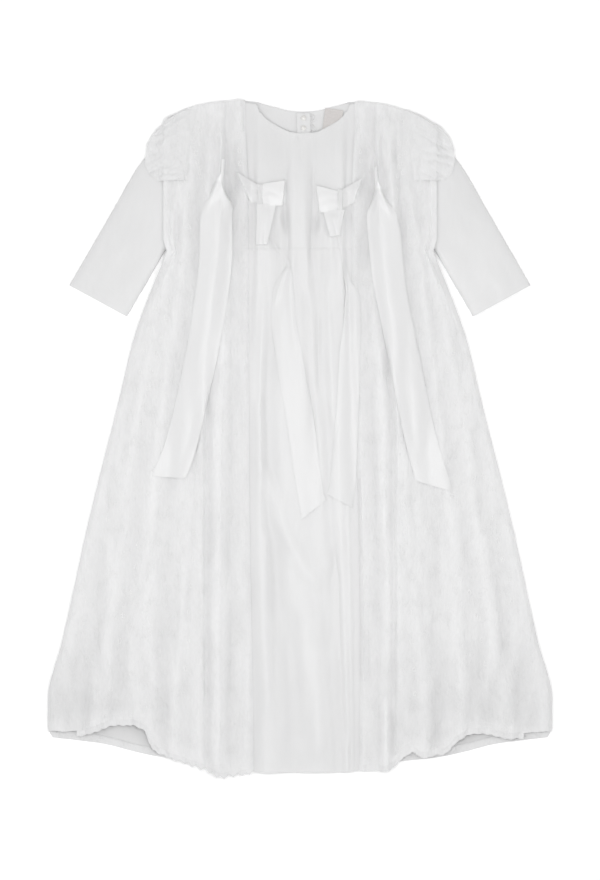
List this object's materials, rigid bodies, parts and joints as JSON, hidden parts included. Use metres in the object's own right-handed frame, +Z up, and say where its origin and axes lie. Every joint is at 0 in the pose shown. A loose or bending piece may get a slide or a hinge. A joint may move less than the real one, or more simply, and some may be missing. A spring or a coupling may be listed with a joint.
{
  "type": "baby christening dress",
  "caption": "Baby's long white christening dress laid flat: plain satin gown under an open lace over-dress with pleats, shoulder caps and satin ribbon bows",
  "frame": {"origin": "on the surface that the dress lies on, under the middle of the whole part", "axes": "+X to the wearer's left seen from above as the picture's right, +Y towards the neck, +Z up out of the front"},
  "size_m": [0.5552, 0.7458, 0.0193],
  "materials": {
    "satin": "matt white satin",
    "lace": "white crinkled embroidered lace",
    "ribbon": "white satin ribbon",
    "pearl": "pearl white",
    "woven_label": "bare woven label"
  },
  "bodies": {
    "root": {"bodice_front": "satin", "skirt_front": "satin", "bodice_back_left": "satin", "bodice_back_right": "satin", "skirt_back": "satin", "sleeve_left": "satin", "sleeve_right": "satin", "back_placket": "satin", "back_button_1": "pearl", "back_button_2": "pearl", "button_loop_1": "ribbon", "button_loop_2": "ribbon", "neck_label": "woven_label", "lace_back": "lace", "lace_front_left": "lace", "lace_front_right": "lace", "lace_cap_left": "lace", "lace_cap_right": "lace", "hem_edging_left": "lace", "hem_edging_right": "lace", "ribbon_left_outer": "ribbon", "ribbon_left_inner": "ribbon", "ribbon_right_inner": "ribbon", "ribbon_right_outer": "ribbon", "bow_left_inner_loop": "ribbon", "bow_left_outer_loop": "ribbon", "bow_left_lower_loop": "ribbon", "bow_left_knot": "ribbon", "bow_right_inner_loop": "ribbon", "bow_right_outer_loop": "ribbon", "bow_right_lower_loop": "ribbon", "bow_right_knot": "ribbon"}
  },
  "joints": []
}
